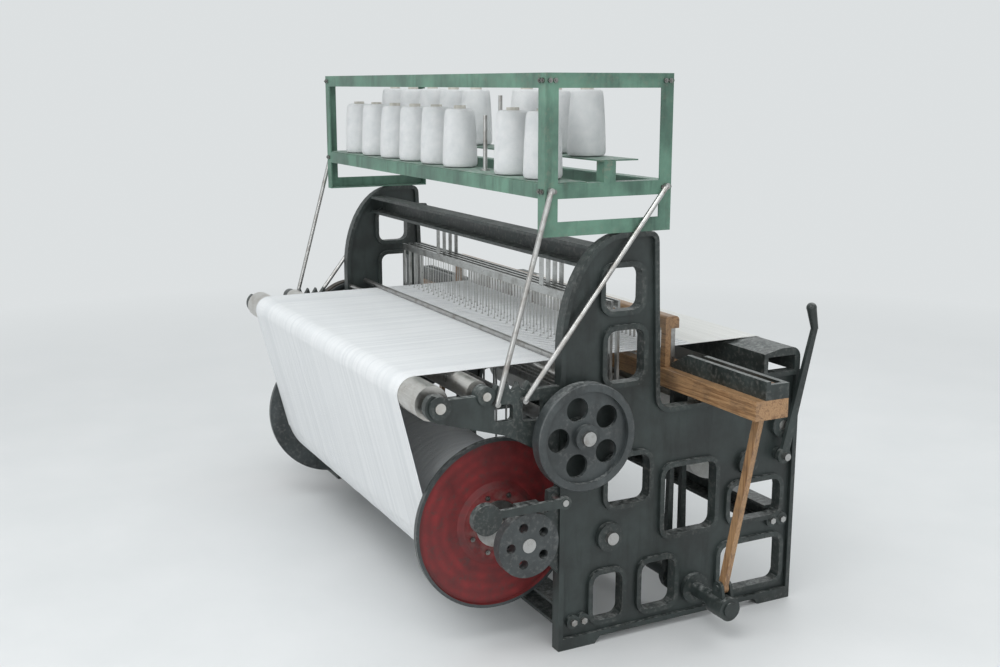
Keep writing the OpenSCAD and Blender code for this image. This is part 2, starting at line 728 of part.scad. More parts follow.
// Shuttle: a boxwood boat with steel tips and a well for its pirn
module shuttle_plan() {
  nose = shuttle_l / 2 - 22;
  polygon(concat(
    [[-nose, -5], [-nose + 70, -shuttle_d / 2], [nose - 70, -shuttle_d / 2], [nose, -5]],
    [[nose, 5], [nose - 70, shuttle_d / 2], [-nose + 70, shuttle_d / 2], [-nose, 5]]));
}
module shuttle() {
  nose = shuttle_l / 2 - 22;
  floor_z = race_z + seat_gap;
  translate([shuttle_x, shuttle_y, floor_z]) {
    color(wood) difference() {
      linear_extrude(shuttle_h) shuttle_plan();
      translate([-95, -14, 9]) cube([190, 28, shuttle_h]);
    }
    color(steel) both_sides() translate([nose, 0, shuttle_h / 2]) rotate([0, 90, 0])
      cylinder(r1 = 5, r2 = 1.5, h = 22);
  }
}
module pirn() {
  color(white) translate([shuttle_x - 95, shuttle_y, race_z + 22 + seat_gap]) rotate([0, 90, 0])
    rotate_extrude() polygon([[0, 0], [9, 0], [12, 12], [12, 130], [4, 176], [4, 186], [0, 186]]);
}
// Picking stick with its picker, swinging in the slot of the shuttle box
module picking_stick(side, deg) {
  length = picker_rise / cos(deg);
  top_x = side * stick_pivot_x + picker_rise * tan(deg);
  color(wood) difference() {
    translate([side * stick_pivot_x, rock_y, stick_pivot_z]) rotate([0, deg, 0]) {
      translate([-14, -stick_t / 2, 0]) cube([28, stick_t, length]);
      rotate([90, 0, 0]) cylinder(r = 19, h = stick_t, center = true);
    }
    translate([side * stick_pivot_x, rock_y + 30, stick_pivot_z]) rotate([90, 0, 0])
      cylinder(r = 10 + run_gap, h = 60);
  }
  half = side > 0 ? 13 : 16;
  lift = side > 0 ? 17 : 4;
  color(leather) translate([top_x - half, shuttle_y - 11, race_z + lift]) cube([2 * half, 30, 42 - lift]);
}
module picking_stick_left() {
  picking_stick(-1, -stick_out_deg);
}
module picking_stick_right() {
  picking_stick(1, stick_in_deg);
}

// Heald frame k with its wires, straps and, under it, the rod or yoke to its treadle
module heald_frame(k) {
  y = heald_y + k * heald_pitch;
  low = warp_z - heald_h / 2;
  high = warp_z + heald_h / 2;
  rod_x = k % 2 == 0 ? -16 : 16;
  yoke_z = low - 130;
  color(k % 2 == 0 ? steel : [0.5, 0.52, 0.5]) {
    for (z = [low - heald_bar, high])
      translate([-heald_half, y - heald_t / 2, z]) cube([2 * heald_half, heald_t, heald_bar]);
    both_sides() translate([heald_half - 14, y - heald_t / 2, low + seat_gap])
      cube([14, heald_t, heald_h - 2 * seat_gap]);
    for (i = [1:band_count - 1]) if (i % 2 == k % 2)
      translate([i * pitch - sheet_x, y, low + seat_gap]) cylinder(r = wire_r, h = heald_h - 2 * seat_gap);
    both_sides() translate([heald_half * 0.52, y - 0.7, high + heald_bar + seat_gap])
      cube([30, 1.4, roller_z + 9 - high - heald_bar]);
    if (k < 2) {
      translate([rod_x, y, treadle_top + 3]) cylinder(r = 4, h = low - heald_bar - treadle_top - 3 - seat_gap);
    } else {
      translate([rod_x, y, yoke_z]) cylinder(r = 4, h = low - heald_bar - yoke_z - seat_gap);
      difference() {
        translate([rod_x - 8, y - 2 * heald_pitch - 8, yoke_z - 10]) cube([16, 2 * heald_pitch + 16, 10]);
        translate([rod_x, y - 2 * heald_pitch, yoke_z - 20]) cylinder(r = 4, h = 30);
      }
    }
  }
}
module heald_frame_1() {
  heald_frame(0);
}
module heald_frame_2() {
  heald_frame(1);
}
module heald_frame_3() {
  heald_frame(2);
}
module heald_frame_4() {
  heald_frame(3);
}
module heald_roller(k) {
  color(steel) {
    rod(7, -heald_half + 30, heald_half - 30, heald_y + k * heald_pitch, roller_z);
    both_sides() rod(heald_roller_r, heald_half * 0.52 - 6, heald_half * 0.52 + 36,
      heald_y + k * heald_pitch, roller_z);
  }
}
module heald_roller_front() {
  heald_roller(0.5);
}
module heald_roller_back() {
  heald_roller(2.5);
}

// Warp beam with its flanges, its yarn and the brake drum of the let-off
module beam_barrel() {
  color(steel) {
    rod(22, -(drum_x + drum_w), in_x + 44, beam_y, beam_z);
    rod(barrel_r, -sheet_x - 24, sheet_x + 24, beam_y, beam_z);
  }
  color(iron) difference() {
    rod(drum_r, -(drum_x + drum_w - 2), -drum_x, beam_y, beam_z);
    rod(22, -(drum_x + drum_w), -drum_x + 2, beam_y, beam_z);
    for (i = [1:5]) translate([0, beam_y, beam_z]) rotate([72 * i, 0, 0])
      rod(15, -(drum_x + drum_w), -drum_x + 2, 60, 0);
  }
}
module beam_flanges() {
  lip = 10;
  color(red) both_sides() translate([sheet_x + 6, beam_y, beam_z]) rotate([0, 90, 0]) rotate_extrude()
    polygon([[barrel_r, 0], [flange_r, 0], [flange_r, 18], [flange_r - lip, 18], [flange_r - lip - 3, 7],
      [barrel_r + 60, 7], [barrel_r + 40, 16], [barrel_r, 16]]);
}
module wound_warp() {
  color(white) difference() {
    rod(wound_r, -sheet_x - 4, sheet_x + 4, beam_y, beam_z);
    rod(barrel_r, -sheet_x - 10, sheet_x + 10, beam_y, beam_z);
  }
}
module warp_roller(r, pin, y, z) {
  color(steel) {
    rod(r, -in_x + 22, in_x - 22, y, z);
    rod(pin, -in_x - 44, in_x + 44, y, z);
  }
}
module back_roller() {
  warp_roller(back_roller_r, 16, back_roller_y, back_roller_z);
}
module guide_roller() {
  warp_roller(guide_roller_r, 13, guide_roller_y, guide_roller_z);
}
module take_up_roller() {
  warp_roller(take_up_r, 16, take_up_y, take_up_z);
}
module cloth_roller() {
  color(steel) rod(14, -in_x - 44, in_x + 44, cloth_roll_y, cloth_roll_z);
  color(wood) difference() {
    rod(34, -sheet_x - 20, sheet_x + 20, cloth_roll_y, cloth_roll_z);
    rod(14, -in_x, in_x, cloth_roll_y, cloth_roll_z);
  }
}
module rolled_cloth() {
  color(white) difference() {
    rod(cloth_roll_r, -sheet_x, sheet_x, cloth_roll_y, cloth_roll_z);
    rod(34, -in_x, in_x, cloth_roll_y, cloth_roll_z);
  }
}

// Starting handle on its stud beside the breast beam
module starting_handle() {
  pivot = handle_pivot;
  grip = [front_y - 34, warp_z + 60];
  span = grip - pivot;
  hub_x = -(out_x + 26);
  color(iron) difference() {
    plate(hub_x, 14) {
      disc_2d(pivot[0], pivot[1], 26);
      translate(pivot) rotate(atan2(span[1], span[0])) polygon([[0, -16], [norm(span), -9],
        [norm(span), 9], [0, 16]]);
    }
    rod(12 + run_gap, hub_x - 10, hub_x + 30, pivot[0], pivot[1]);
  }
  color(red) translate([hub_x + 7, grip[0], grip[1]]) rotate([90 - atan2(span[1], span[0]), 0, 0])
    rotate_extrude() polygon(concat([[0, -4]], [[12, -4], [14, 30]], arc([0, 70], 17, 17, -20, 90, 8)));
}
// Weighted lever that brakes the beam through a shoe on its drum
module letoff_lever() {
  hub_x = -(drum_x + drum_w + 22);
  tip_y = beam_y + 190;
  pad_top = beam_z + drum_r + 8;
  near = drum_r + seat_gap;
  color(iron) {
    difference() {
      plate(hub_x, 14) {
        disc_2d(lever_y, lever_z, 20);
        polygon([[lever_y, lever_z - 14], [tip_y, lever_z - 10], [tip_y, lever_z + 10], [lever_y, lever_z + 14]]);
      }
      rod(10 + run_gap, hub_x - 10, hub_x + 30, lever_y, lever_z);
    }
    box(hub_x + 14, -drum_x - 4, beam_y - 38, beam_y + 38, pad_top, lever_z + 6);
    rod(46, hub_x - 26, hub_x, tip_y - 30, lever_z);
  }
  color(leather) box(-(drum_x + drum_w), -drum_x - 4, beam_y - 20, beam_y + 20, beam_z + near, pad_top);
}
module motor_pulley() {
  shaft_end = pulley_x + pulley_w + 70;
  color(steel) rod(14, pulley_x - 4, shaft_end, motor_y, motor_z);
  color(iron) difference() {
    rod(motor_pulley_r, pulley_x, pulley_x + pulley_w, motor_y, motor_z);
    rod(14, pulley_x - 5, shaft_end, motor_y, motor_z);
  }
}
module drive_belt() {
  belt_t = 6;
  top = [crank_y, crank_z];
  low = [motor_y, motor_z];
  color([0.16, 0.14, 0.12]) plate(pulley_x + 3, pulley_w - 6) difference() {
    polygon(loop_points(top, pulley_r + seat_gap + belt_t, low, motor_pulley_r + seat_gap + belt_t));
    polygon(loop_points(top, pulley_r + seat_gap, low, motor_pulley_r + seat_gap));
  }
}
module motor() {
  body_x = pulley_x + pulley_w + 20;
  body_l = 220;
  fins = 18;
  color(iron) difference() {
    union() {
      translate([body_x, motor_y, motor_z]) rotate([0, 90, 0]) rotate_extrude() polygon([
        [0, 0], [40, 0], [motor_r - 12, 14], [motor_r - 8, 30], [motor_r - 8, body_l - 40],
        [motor_r - 2, body_l - 40], [motor_r - 2, body_l - 6], [motor_r - 10, body_l], [0, body_l]]);
      for (i = [1:fins]) translate([body_x + 34, motor_y, motor_z]) rotate([360 * i / fins, 0, 0])
        translate([0, motor_r - 16, -1.5]) cube([body_l - 82, 14, 3]);
      box(body_x + 70, body_x + 150, motor_y - 40, motor_y + 40, motor_z + 60, motor_z + motor_r + 26);
      for (x = [body_x + 44, body_x + 150])
        box(x, x + 26, motor_y - motor_r, motor_y + motor_r, motor_z - motor_r - 8, motor_z - motor_r + 26);
    }
    rod(14 + run_gap, body_x - 5, pulley_x + pulley_w + 76, motor_y, motor_z);
  }
}
// Floor base of the motor, held to the foot of the right side frame
module motor_bracket() {
  body_x = pulley_x + pulley_w + 20;
  top_z = motor_z - motor_r - 8;
  color(iron) {
    box(out_x, body_x + 240, rear_y - leg_w, motor_y + motor_r + 14, 0, 12);
    for (y = [motor_y - motor_r, motor_y + motor_r - 14])
      box(body_x + 10, body_x + 220, y, y + 14, 12, top_z);
  }
}

side_frame_left();
side_frame_right();
breast_beam();
front_girt();
rear_girt();
top_girt();
roller_brackets();
beam_arms();
frame_bolts();
motor_bracket();
motor();
drive_belt();
warp_sheet();
cloth_sheet();
lease_rods();
creel_frame();
creel_shelves();
creel_pegs();
creel_stays();
yarn_cones();
crank_shaft();
crank_gear();
drive_pulley();
flywheel();
crank_arm_left();
crank_arm_right();
bottom_shaft();
bottom_gear();
tappets();
rocking_shaft();
sley_swords();
race_board();
reed();
reed_cap();
shuttle_boxes();
shuttle();
picking_stick_left();
picking_stick_right();
heald_frame_1();
heald_frame_2();
heald_frame_3();
heald_frame_4();
treadle_1();
treadle_2();
heald_roller_front();
heald_roller_back();
beam_barrel();
beam_flanges();
wound_warp();
back_roller();
guide_roller();
take_up_roller();
cloth_roller();
rolled_cloth();
starting_handle();
letoff_lever();
pirn();
motor_pulley();
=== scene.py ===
"""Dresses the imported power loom: the yarn, cloth and cones, and a finish for every part."""

import math
import random

import bmesh
import bpy
from mathutils import Matrix, Vector


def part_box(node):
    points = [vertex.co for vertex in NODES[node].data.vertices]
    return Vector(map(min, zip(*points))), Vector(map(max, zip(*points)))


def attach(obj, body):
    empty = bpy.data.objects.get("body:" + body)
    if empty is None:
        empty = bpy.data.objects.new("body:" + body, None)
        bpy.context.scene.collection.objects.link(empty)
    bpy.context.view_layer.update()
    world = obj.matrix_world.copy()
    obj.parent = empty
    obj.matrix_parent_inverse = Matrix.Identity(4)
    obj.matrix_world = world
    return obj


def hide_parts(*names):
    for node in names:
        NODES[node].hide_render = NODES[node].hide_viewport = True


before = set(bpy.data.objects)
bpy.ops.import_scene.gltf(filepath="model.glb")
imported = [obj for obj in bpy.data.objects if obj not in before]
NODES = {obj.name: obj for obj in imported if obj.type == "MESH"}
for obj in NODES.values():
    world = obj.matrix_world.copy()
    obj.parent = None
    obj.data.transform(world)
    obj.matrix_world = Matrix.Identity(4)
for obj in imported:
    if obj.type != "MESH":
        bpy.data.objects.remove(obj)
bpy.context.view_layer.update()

FRAME_BODY = "frame"

# Sizes of the yarn and the cloth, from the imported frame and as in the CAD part
WARP_LOW, WARP_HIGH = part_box("warp_sheet")
CLOTH_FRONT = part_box("cloth_sheet")[0][1]
WARP_HALF = WARP_HIGH[0]
SHEET_T = 0.002
SEAT_GAP = 0.0003
WARP_Z = WARP_HIGH[2] - SHEET_T / 2
FELL_Y = WARP_LOW[1]
BAND_COUNT = 60
BAND_PITCH = 2 * WARP_HALF / BAND_COUNT
BAND_GAP = 0.007


def centre(node):
    """The middle of a CAD node's box."""
    low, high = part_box(node)
    return (Vector(low) + Vector(high)) / 2


def radius(node):
    """Half the height of a CAD node that lies along X, such as a roller."""
    low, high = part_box(node)
    return (high[2] - low[2]) / 2


# Camera, behind the loom and near its left end
camera_data = bpy.data.cameras.new("camera")
camera = bpy.data.objects.new("camera", camera_data)
bpy.context.scene.collection.objects.link(camera)
bpy.context.scene.camera = camera
CAMERA_PLACE = Vector((-3.9, 2.05, 1.72))
CAMERA_AIM = Vector((0.02, 0.06, 0.80))
camera.location = CAMERA_PLACE
camera.rotation_euler = (CAMERA_AIM - CAMERA_PLACE).to_track_quat("-Z", "Y").to_euler()
camera_data.lens = 43


# Material helpers
class Finish:
    """One material, with short ways to add and link its nodes."""

    def __init__(self, name):
        self.material = bpy.data.materials.new(name)
        self.material.use_nodes = True
        self.tree = self.material.node_tree
        self.shader = self.tree.nodes["Principled BSDF"]
        self.coords = self.add("ShaderNodeTexCoord").outputs["Object"]

    def add(self, kind, **settings):
        node = self.tree.nodes.new(kind)
        for key, value in settings.items():
            setattr(node, key, value)
        return node

    def link(self, source, target):
        self.tree.links.new(source, target)

    def stretched(self, scale, source=None):
        node = self.add("ShaderNodeMapping")
        node.inputs["Scale"].default_value = scale
        self.link(source or self.coords, node.inputs["Vector"])
        return node.outputs["Vector"]

    def noise(self, scale, detail=4, roughness=0.55, vector=None, distortion=0.0):
        node = self.add("ShaderNodeTexNoise")
        node.inputs["Scale"].default_value = scale
        node.inputs["Detail"].default_value = detail
        node.inputs["Roughness"].default_value = roughness
        node.inputs["Distortion"].default_value = distortion
        self.link(vector or self.coords, node.inputs["Vector"])
        return node.outputs["Fac"]

    def wave(self, scale, direction, vector=None, distortion=0.0, kind="BANDS", detail_scale=1.0):
        node = self.add("ShaderNodeTexWave", wave_type=kind)
        if kind == "BANDS":
            node.bands_direction = direction
        else:
            node.rings_direction = direction
        node.inputs["Scale"].default_value = scale
        node.inputs["Distortion"].default_value = distortion
        node.inputs["Detail Scale"].default_value = detail_scale
        self.link(vector or self.coords, node.inputs["Vector"])
        return node.outputs["Fac"]

    def ramp(self, value, stops):
        node = self.add("ShaderNodeValToRGB")
        points = node.color_ramp.elements
        while len(points) < len(stops):
            points.new(0.5)
        for point, (place, colour) in zip(points, stops):
            point.position = place
            point.color = colour if len(colour) == 4 else (*colour, 1)
        self.link(value, node.inputs["Fac"])
        return node.outputs["Color"]

    def grey(self, value, low, high, start=0.3, end=0.7):
        return self.ramp(value, [(start, (low,) * 3), (end, (high,) * 3)])

    def mix(self, amount, under, over, blend="MIX"):
        node = self.add("ShaderNodeMix", data_type="RGBA", blend_type=blend)
        for socket, value in ((node.inputs[0], amount), (node.inputs[6], under), (node.inputs[7], over)):
            if isinstance(value, bpy.types.NodeSocket):
                self.link(value, socket)
            elif isinstance(value, (int, float)):
                socket.default_value = value
            else:
                socket.default_value = (*value, 1)
        return node.outputs[2]

    def math(self, operation, a, b):
        node = self.add("ShaderNodeMath", operation=operation)
        for socket, value in zip(node.inputs, (a, b)):
            if isinstance(value, bpy.types.NodeSocket):
                self.link(value, socket)
            else:
                socket.default_value = value
        return node.outputs["Value"]

    def upward(self, start=0.55, end=0.95):
        """How far a face looks up, from 0 to 1."""
        geometry = self.add("ShaderNodeNewGeometry")
        split = self.add("ShaderNodeSeparateXYZ")
        self.link(geometry.outputs["Normal"], split.inputs[0])
        return self.grey(split.outputs["Z"], 0, 1, start, end)

    def edges(self, start=0.535, end=0.62):
        geometry = self.add("ShaderNodeNewGeometry")
        return self.grey(geometry.outputs["Pointiness"], 0, 1, start, end)

    def bump(self, height, strength, distance=0.001, below=None):
        node = self.add("ShaderNodeBump")
        node.inputs["Strength"].default_value = strength
        node.inputs["Distance"].default_value = distance
        self.link(height, node.inputs["Height"])
        if below is not None:
            self.link(below, node.inputs["Normal"])
        self.link(node.outputs["Normal"], self.shader.inputs["Normal"])
        return node.outputs["Normal"]

    def colour(self, value):
        self.link(value, self.shader.inputs["Base Color"])

    def rough(self, value):
        self.link(value, self.shader.inputs["Roughness"])

    def plain(self, **values):
        for key, value in values.items():
            self.shader.inputs[key.replace("_", " ")].default_value = value


LINT = (0.46, 0.48, 0.47)


def painted_iron(name, base, dark, chip, gloss=(0.34, 0.62), lint=0.55):
    """Thick old paint on iron, worn at its edges, with oil stains and cotton lint on what faces up."""
    finish = Finish(name)
    patches = finish.noise(7, 6, 0.62)
    fine = finish.noise(160, 3, 0.6)
    paint = finish.mix(finish.grey(patches, 0, 1, 0.38, 0.66), dark, base)
    drips = finish.noise(26, 4, 0.6, finish.stretched((1, 1, 0.16)))
    paint = finish.mix(finish.grey(drips, 0, 0.6, 0.52, 0.72), paint, tuple(c * 0.45 for c in dark))
    worn = finish.math("MULTIPLY", finish.edges(), finish.grey(finish.noise(75, 6, 0.65), 0, 1, 0.5, 0.66))
    paint = finish.mix(finish.math("MULTIPLY", worn, 0.42), paint, chip)
    fluff = finish.grey(finish.noise(60, 7, 0.75), 0, 1, 0.44, 0.68)
    dust = finish.math("MULTIPLY", finish.upward(), fluff)
    finish.colour(finish.mix(finish.math("MULTIPLY", dust, lint), paint, LINT))
    finish.rough(finish.mix(dust, finish.grey(patches, gloss[0], gloss[1], 0.3, 0.7), (0.9, 0.9, 0.9)))
    finish.plain(Metallic=0.0, Coat_Weight=0.12, Coat_Roughness=0.35)
    casting = finish.bump(finish.noise(420, 2, 0.6), 0.25, 0.0006)
    finish.bump(fine, 0.18, 0.0008, casting)
    return finish.material


def cast_iron():
    return painted_iron("cast_iron", (0.033, 0.045, 0.043), (0.013, 0.018, 0.017), (0.16, 0.16, 0.15))


def machined_iron():
    return painted_iron("machined_iron", (0.054, 0.064, 0.066), (0.026, 0.031, 0.032), (0.15, 0.15, 0.145),
                        (0.28, 0.5))


def green_paint():
    return painted_iron("green_paint", (0.115, 0.235, 0.172), (0.055, 0.12, 0.088), (0.22, 0.19, 0.15),
                        (0.4, 0.65), 0.7)


def motor_paint():
    return painted_iron("motor_paint", (0.075, 0.125, 0.14), (0.035, 0.06, 0.07), (0.3, 0.3, 0.29),
                        (0.3, 0.5))


def red_paint():
    """Oxide paint on the beam flanges, scored in rings by years of turning."""
    finish = Finish("red_paint")
    place = centre("beam_flanges")
    moved = finish.add("ShaderNodeMapping")
    moved.inputs["Location"].default_value = (0, -place.y, -place.z)
    finish.link(finish.coords, moved.inputs["Vector"])
    rings = finish.wave(9, "X", moved.outputs["Vector"], 2.2, "RINGS", 1.6)
    patches = finish.noise(11, 6, 0.65)
    paint = finish.mix(finish.grey(patches, 0, 1, 0.35, 0.65), (0.11, 0.012, 0.013), (0.235, 0.022, 0.024))
    paint = finish.mix(finish.math("MULTIPLY", rings, 0.35), paint, (0.07, 0.014, 0.014))
    worn = finish.math("MULTIPLY", finish.edges(), finish.grey(finish.noise(40, 5), 0, 1, 0.4, 0.6))
    paint = finish.mix(finish.math("MULTIPLY", worn, 0.5), paint, (0.23, 0.2, 0.18))
    grime = finish.grey(finish.noise(34, 8, 0.72), 0, 0.8, 0.52, 0.74)
    finish.colour(finish.mix(grime, paint, (0.04, 0.035, 0.032)))
    finish.rough(finish.grey(patches, 0.42, 0.68))
    finish.bump(finish.noise(260, 3), 0.3, 0.0007)
    return finish.material


def bright_steel(name="bright_steel", base=(0.50, 0.50, 0.49), stain=(0.20, 0.17, 0.14),
                 along=(0.02, 1, 1)):
    """Turned steel with fine marks round it and brown oil stains."""
    finish = Finish(name)
    marks = finish.noise(900, 2, 0.5, finish.stretched(along))
    stains = finish.noise(18, 7, 0.7)
    metal = finish.mix(finish.grey(stains, 0, 0.85, 0.48, 0.72), base, stain)
    finish.colour(finish.mix(finish.grey(marks, 0, 0.25), metal, (0.12, 0.11, 0.1)))
    finish.rough(finish.grey(finish.noise(30, 6, 0.7), 0.24, 0.52))
    finish.plain(Metallic=1.0)
    finish.bump(marks, 0.2, 0.0004)
    return finish.material


def dull_aluminium():
    return bright_steel("dull_aluminium", (0.58, 0.59, 0.58), (0.30, 0.29, 0.27), (0.05, 1, 1))


def polished_steel():
    """The rollers that the yarn and the cloth keep bright."""
    return bright_steel("polished_steel", (0.66, 0.65, 0.62), (0.46, 0.42, 0.37))


def wood(name, along, light=(0.40, 0.235, 0.115), dark=(0.20, 0.105, 0.048)):
    """Oiled wood, dark in the grain and greyed by handling."""
    finish = Finish(name)
    stretched = finish.stretched(along)
    grain = finish.noise(60, 8, 0.62, stretched, 1.2)
    pores = finish.noise(420, 3, 0.5, stretched)
    colour = finish.ramp(grain, [(0.36, dark), (0.52, light), (0.66, tuple(0.75 * c for c in light))])
    colour = finish.mix(finish.grey(pores, 0.5, 0, 0.36, 0.5), colour, tuple(0.5 * c for c in dark))
    grime = finish.grey(finish.noise(9, 6, 0.7), 0, 0.65, 0.48, 0.75)
    finish.colour(finish.mix(grime, colour, (0.07, 0.055, 0.045)))
    finish.rough(finish.grey(grain, 0.36, 0.6))
    finish.plain(Coat_Weight=0.15, Coat_Roughness=0.3)
    finish.bump(pores, 0.3, 0.0006)
    return finish.material


def belt_rubber():
    finish = Finish("belt_rubber")
    weave = finish.wave(260, "X")
    patches = finish.grey(finish.noise(40, 5), 0, 1)
    finish.colour(finish.mix(patches, (0.028, 0.024, 0.02), (0.075, 0.062, 0.05)))
    finish.rough(finish.grey(weave, 0.55, 0.8))
    finish.bump(weave, 0.35, 0.0006)
    return finish.material


def yarn_sheet(name="yarn_sheet", across="X", threads=520):
    """Cotton threads side by side, pale grey in the gaps between them."""
    finish = Finish(name)
    fine = finish.wave(threads, across, None, 0.35, "BANDS", 3)
    groups = finish.noise(70, 3, 0.6, finish.stretched((1, 0.01, 0.01)))
    tint = finish.mix(finish.grey(groups, 0, 1, 0.36, 0.64), (0.715, 0.735, 0.75), (0.82, 0.835, 0.845))
    finish.colour(finish.mix(finish.grey(fine, 0.42, 0, 0.05, 0.5), tint, (0.52, 0.55, 0.57)))
    finish.rough(finish.grey(groups, 0.72, 0.86))
    finish.plain(Sheen_Weight=0.25, Sheen_Roughness=0.5, Specular_IOR_Level=0.25)
    strands = finish.bump(fine, 0.5, 0.0006)
    finish.bump(groups, 0.25, 0.0012, strands)
    return finish.material


def woven_cloth(name="woven_cloth"):
    """Grey cotton cloth in plain weave, with faint bars where the beat-up varied."""
    finish = Finish(name)
    warp = finish.wave(430, "X", None, 0.3, "BANDS", 3)
    weft = finish.wave(380, "DIAGONAL", finish.stretched((0.0, 1, 1)), 0.3, "BANDS", 3)
    weave = finish.math("MULTIPLY", warp, weft)
    bars = finish.noise(46, 3, 0.6, finish.stretched((0.02, 1, 1)))
    tint = finish.mix(finish.grey(bars, 0, 1, 0.34, 0.66), (0.64, 0.645, 0.625), (0.75, 0.755, 0.735))
    finish.colour(finish.mix(finish.grey(weave, 0.3, 0, 0.0, 0.4), tint, (0.56, 0.56, 0.53)))
    finish.rough(finish.grey(bars, 0.8, 0.9))
    finish.plain(Sheen_Weight=0.3, Sheen_Roughness=0.5, Specular_IOR_Level=0.2)
    finish.bump(weave, 0.45, 0.0005)
    return finish.material


def cone_yarn():
    """Cross-wound cotton: two families of threads that climb the cone, read from its own map."""
    finish = Finish("cone_yarn")
    uv = finish.add("ShaderNodeTexCoord").outputs["UV"]
    left = finish.wave(34, "DIAGONAL", finish.stretched((1.0, 1.5, 1), uv), 0.15)
    right = finish.wave(34, "DIAGONAL", finish.stretched((-1.0, 1.5, 1), uv), 0.15)
    winding = finish.math("MAXIMUM", left, right)
    soft = finish.noise(30, 4, 0.6)
    tint = finish.mix(finish.grey(soft, 0, 1, 0.3, 0.7), (0.72, 0.745, 0.755), (0.84, 0.85, 0.855))
    finish.colour(finish.mix(finish.grey(winding, 0.3, 0, 0.2, 0.9), tint, (0.42, 0.45, 0.47)))
    finish.rough(finish.grey(soft, 0.75, 0.88))
    finish.plain(Sheen_Weight=0.3, Sheen_Roughness=0.5, Specular_IOR_Level=0.2)
    finish.bump(winding, 0.8, 0.0012)
    return finish.material


def pirn_yarn():
    finish = Finish("pirn_yarn")
    turns = finish.wave(420, "X", None, 0.6, "BANDS", 3)
    finish.colour(finish.mix(finish.grey(turns, 0.4, 0, 0.1, 0.6), (0.84, 0.85, 0.85), (0.6, 0.62, 0.63)))
    finish.rough(finish.grey(turns, 0.75, 0.88))
    finish.plain(Sheen_Weight=0.25, Sheen_Roughness=0.5, Specular_IOR_Level=0.2)
    finish.bump(turns, 0.5, 0.0005)
    return finish.material


def card_tube():
    finish = Finish("card_tube")
    spiral = finish.noise(90, 4, 0.6, finish.stretched((1, 1, 0.3)))
    finish.colour(finish.mix(finish.grey(spiral, 0, 1), (0.40, 0.38, 0.34), (0.58, 0.56, 0.51)))
    finish.rough(finish.grey(spiral, 0.7, 0.85))
    finish.bump(spiral, 0.3, 0.0005)
    return finish.material


def picker_leather():
    finish = Finish("picker_leather")
    grain = finish.noise(240, 5, 0.6)
    finish.colour(finish.mix(finish.grey(grain, 0, 1), (0.07, 0.035, 0.018), (0.19, 0.10, 0.05)))
    finish.rough(finish.grey(grain, 0.45, 0.7))
    finish.bump(grain, 0.5, 0.0008)
    return finish.material


BACKDROP = (0.80, 0.83, 0.84)


def floor_finish():
    """Pale floor that takes the loom's shadow and fades into the backdrop further out."""
    finish = Finish("floor_finish")
    mottle = finish.noise(2.2, 6, 0.6)
    finish.colour(finish.mix(finish.grey(mottle, 0, 1), (0.66, 0.675, 0.68), (0.70, 0.71, 0.715)))
    finish.rough(finish.grey(mottle, 0.5, 0.65))
    far = finish.add("ShaderNodeEmission")
    far.inputs["Color"].default_value = (*BACKDROP, 1)
    far.inputs["Strength"].default_value = 0.9
    distance = finish.add("ShaderNodeVectorMath", operation="LENGTH")
    finish.link(finish.coords, distance.inputs[0])
    reach = finish.grey(finish.math("MULTIPLY", distance.outputs["Value"], 0.1), 0, 1, 0.22, 0.62)
    blend = finish.add("ShaderNodeMixShader")
    finish.link(reach, blend.inputs[0])
    finish.link(finish.shader.outputs[0], blend.inputs[1])
    finish.link(far.outputs[0], blend.inputs[2])
    output = next(node for node in finish.tree.nodes if node.type == "OUTPUT_MATERIAL")
    finish.link(blend.outputs[0], output.inputs["Surface"])
    return finish.material


MATERIALS = {
    "motor": motor_paint(), "iron": cast_iron(), "machined": machined_iron(),
    "green": green_paint(), "red": red_paint(),
    "steel": bright_steel(), "aluminium": dull_aluminium(), "polished": polished_steel(),
    "board": wood("board_wood", (0.05, 1, 1)), "stick": wood("stick_wood", (1, 1, 0.05)),
    "shuttle": wood("shuttle_wood", (0.06, 1, 1), (0.46, 0.26, 0.12), (0.25, 0.12, 0.05)),
    "belt": belt_rubber(), "warp": yarn_sheet(), "cloth": woven_cloth(), "cone": cone_yarn(),
    "card": card_tube(), "leather": picker_leather(), "wound": yarn_sheet("wound_yarn", "X", 520),
    "pirn": pirn_yarn(), "dark_bolt": bright_steel("dark_bolt", (0.27, 0.27, 0.26), (0.1, 0.09, 0.08)),
}
NODE_FINISH = {
    "green": ["creel_frame", "creel_shelves"],
    "red": ["beam_flanges"],
    "steel": ["frame_bolts", "lease_rods", "creel_pegs", "creel_stays", "crank_shaft", "bottom_shaft",
              "reed", "heald_roller_front", "heald_roller_back", "beam_barrel"],
    "polished": ["back_roller", "guide_roller", "take_up_roller"],
    "aluminium": ["heald_frame_1", "heald_frame_2", "heald_frame_3", "heald_frame_4"],
    "board": ["race_board", "reed_cap", "cloth_roller"],
    "stick": ["picking_stick_left", "picking_stick_right"],
    "shuttle": ["shuttle"],
    "belt": ["drive_belt"],
    "motor": ["motor"],
    "machined": ["crank_gear", "bottom_gear", "flywheel", "drive_pulley", "motor_pulley", "tappets"],
}
finish_of = {node: kind for kind, nodes in NODE_FINISH.items() for node in nodes}
for node_name, node_object in NODES.items():
    node_object.data.materials.clear()
    node_object.data.materials.append(MATERIALS[finish_of.get(node_name, "iron")])


def second_finish(node, kind, wanted):
    """Gives the faces of a CAD node whose middle passes the test wanted another finish."""
    mesh = NODES[node].data
    mesh.materials.append(MATERIALS[kind])
    for face in mesh.polygons:
        if wanted(face.center):
            face.material_index = 1


def off_axis(axis, point):
    return math.hypot(point.y - axis.y, point.z - axis.z)


